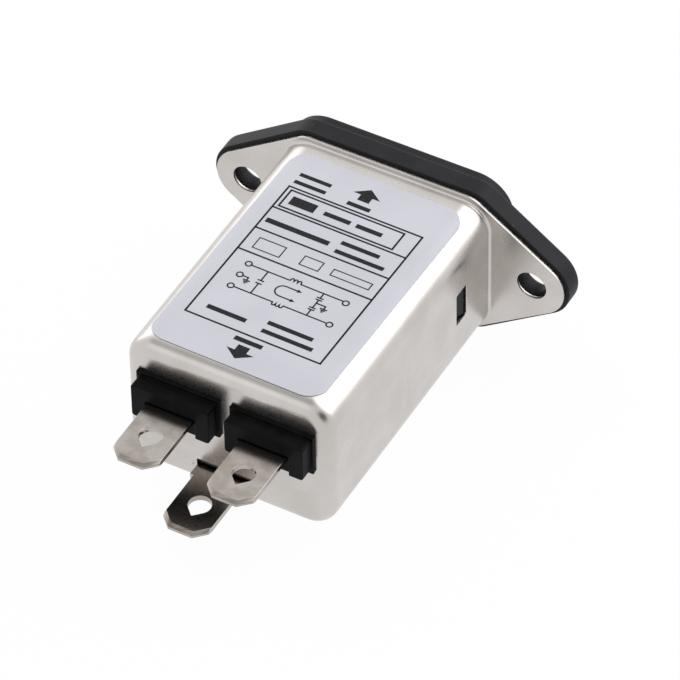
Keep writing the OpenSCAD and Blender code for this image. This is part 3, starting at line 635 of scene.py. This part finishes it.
# Standard circuit symbols: two line conductors with a coupled choke, one capacitor across
# them, two to earth, and the double-ended curve between the windings
def circuitPrint(c):
    w = c["line"]
    top, bottom = c["wires"][0][0], c["wires"][1][0]
    parts = [strip(circlePath(u, v, c["ring"]), w, True) for u, v in c["rings"]]
    for v, side in c["wires"]:
        wide, high = c["loopSize"]
        loops = np.concatenate([[u, v] + arcPoints(180, 0, 9) * [wide, high * side] for u in c["loops"]])
        loops = loops[np.r_[True, np.linalg.norm(np.diff(loops, axis=0), axis=1) > 1e-6]]
        before, after = [(c["wireFrom"], v), (c["coilFrom"], v)], [(c["coilTo"], v), (c["wireTo"], v)]
        parts.append(strip(np.concatenate([before, loops, after]), w))
    for u, plates in c["capacitors"]:
        ends = [top] + [v for pair in plates for v in pair] + [bottom]
        parts += [strip([(u, low), (u, high)], w) for low, high in zip(ends[::2], ends[1::2])]
        parts += [strip([(u - c["plate"], v), (u + c["plate"], v)], w) for pair in plates for v in pair]
    parts += [strip(path, w) for path in c["earthed"]]
    for u, v in (path[-1] for path in c["earthed"]):
        for k, half in enumerate(c["earthBars"]):
            parts.append(strip([(u - half, v + k * c["earthStep"]), (u + half, v + k * c["earthStep"])], w))
    bend = circlePath(*c["curveMiddle"], c["curveR"], 270, 90, 9)
    parts.append(strip(np.concatenate([c["curveIn"], bend, c["curveOut"]]), w))
    for v in (c["curveIn"][0][1], c["curveOut"][0][1]):
        parts.append(polygonPrint([(c["arrowFrom"], v - c["arrowHalf"]), (c["arrowTo"], v),
                                   (c["arrowFrom"], v + c["arrowHalf"])]))
    return parts


fit(makePrint(printPlan, circuit), printInk, "label_film")
fit(dressedCopy("rating_label", label["edge"], 1), labelFilm, "label_film", "rating_label")
print("label printed")


# The nodes that each hidden finish is for
innerParts = dict(
    inlet_pin=["line_pin", "neutral_pin", "earth_pin"],
    ferrite=["choke_core"],
    divider_card=["choke_divider"],
    enamelled_copper=["line_winding", "neutral_winding"],
    x_capacitor_case=["x_capacitor"],
    tinned_wire=["x_capacitor_leads", "line_y_capacitor_leads", "neutral_y_capacitor_leads"],
    y_capacitor_coat=["line_y_capacitor", "neutral_y_capacitor"],
    earth_insulation=["earth_wire"],
    liner_film=["insulating_liner"])

for slotName, names in innerParts.items():
    for name in names:
        nodes[name].data.materials.clear()
        nodes[name].data.materials.append(innerFinishes[slotName])
print("inner parts finished")


# Eye in millimetres, viewing direction, roll in degrees, lens and sensor as on a real camera
view = dict(eye=(-257.04, 461.29, 506.81), forward=(0.35225, -0.61512, -0.70537), roll=-1.068, lens=313.6,
            sensor=36, clipStart=0.02, clipEnd=20)


def makeCamera(v):
    camera = bpy.data.objects.new("camera", bpy.data.cameras.new("camera"))
    bpy.context.scene.collection.objects.link(camera)
    camera.data.lens = v["lens"]
    camera.data.sensor_width = v["sensor"]
    camera.data.clip_start = v["clipStart"]
    camera.data.clip_end = v["clipEnd"]
    camera.location = Vector(v["eye"]) * mm
    back = -Vector(v["forward"])
    camera.rotation_mode = "QUATERNION"
    camera.rotation_quaternion = back.to_track_quat("Z", "Y") @ Quaternion((0, 0, 1), math.radians(v["roll"]))
    bpy.context.scene.camera = camera


stageLook = dict(floorColour=0.92, floorWhite=0.97, floorHalf=3000.0, floorGap=0.02, worldLight=0.5)

# What polished metal sees round it: direction, cosines where the patch starts and is full, and the
# light added there; a negative one is a dark gap between soft boxes
softBoxes = [((-0.45, -0.62, 0.62), 0.70, 0.93, 1.6),
             ((0.80, -0.58, 0.12), 0.80, 0.95, 0.9),
             ((0.30, 0.62, 0.72), 0.93, 0.985, 0.2),
             ((0.20, 0.05, 0.98), 0.86, 0.98, -0.42),
             ((-0.77, 0.51, 0.40), 0.90, 0.97, -0.9)]


# Matte floor that takes the object's shadow, mixed with plain white for the seen rays
def makeFloor(s):
    low = cadBox[0].z / mm - s["floorGap"]
    corners = np.array([[-1, -1], [1, -1], [1, 1], [-1, 1]]) * s["floorHalf"]
    floor = meshObject("floor", np.insert(corners, 2, low, axis=1), [[0, 1, 2, 3]])
    material = bpy.data.materials.new("paleFloor")
    material.use_nodes = True
    pale = NodeTree(material.node_tree)
    pale.tree.nodes.remove(pale.tree.nodes["Principled BSDF"])
    matte = pale.node("ShaderNodeBsdfDiffuse", {}, {"Color": (s["floorColour"],) * 3 + (1,)})
    white = pale.node("ShaderNodeEmission", {}, {"Strength": 1.0})
    mixed = pale.node("ShaderNodeMixShader", {}, (pale.seenRays() * s["floorWhite"], matte, white))
    pale.link(mixed, pale.tree.nodes["Material Output"].inputs["Surface"])
    floor.data.materials.append(material)


# Plain white for the camera, the soft boxes on top of it for metal, and an even light for the rest
def makeWorld(s, boxes):
    world = bpy.data.worlds.new("studio")
    bpy.context.scene.world = world
    world.use_nodes = True
    air = NodeTree(world.node_tree)
    way = air.node("ShaderNodeTexCoord", output="Generated")
    extra = 0.0
    for direction, start, full, light in boxes:
        towards = air.node("ShaderNodeVectorMath", dict(operation="DOT_PRODUCT"),
                           (way, tuple(Vector(direction).normalized())), "Value")
        extra = towards.between(start, full) * light + extra
    glossy = air.node("ShaderNodeLightPath", output="Is Glossy Ray")
    seen = air.seenRays()
    level = seen * (1.0 - s["worldLight"]) + s["worldLight"] + glossy * extra
    sky = air.tree.nodes["Background"]
    sky.inputs["Color"].default_value = (1, 1, 1, 1)
    air.link(level, sky.inputs["Strength"])


# Area lamps by the direction they stand in from the object, distance and size in millimetres
lamps = dict(key=dict(way=(0.62, -0.2, 0.75), distance=700, size=520, power=1.8),
             edge=dict(way=(-0.48, -0.62, 0.58), distance=600, size=660, power=2.0))


def makeLamps(plan):
    middle = (cadBox[0] + cadBox[1]) / 2
    for name, lamp in plan.items():
        light = bpy.data.objects.new(name, bpy.data.lights.new(name, "AREA"))
        bpy.context.scene.collection.objects.link(light)
        light.data.shape = "DISK"
        light.data.size = lamp["size"] * mm
        light.data.energy = lamp["power"]
        light.visible_glossy = False
        way = Vector(lamp["way"]).normalized()
        light.location = middle + way * lamp["distance"] * mm
        light.rotation_mode = "QUATERNION"
        light.rotation_quaternion = way.to_track_quat("Z", "Y")


makeCamera(view)
makeFloor(stageLook)
makeWorld(stageLook, softBoxes)
makeLamps(lamps)
bpy.context.scene.view_settings.view_transform = "Standard"
print("studio set")
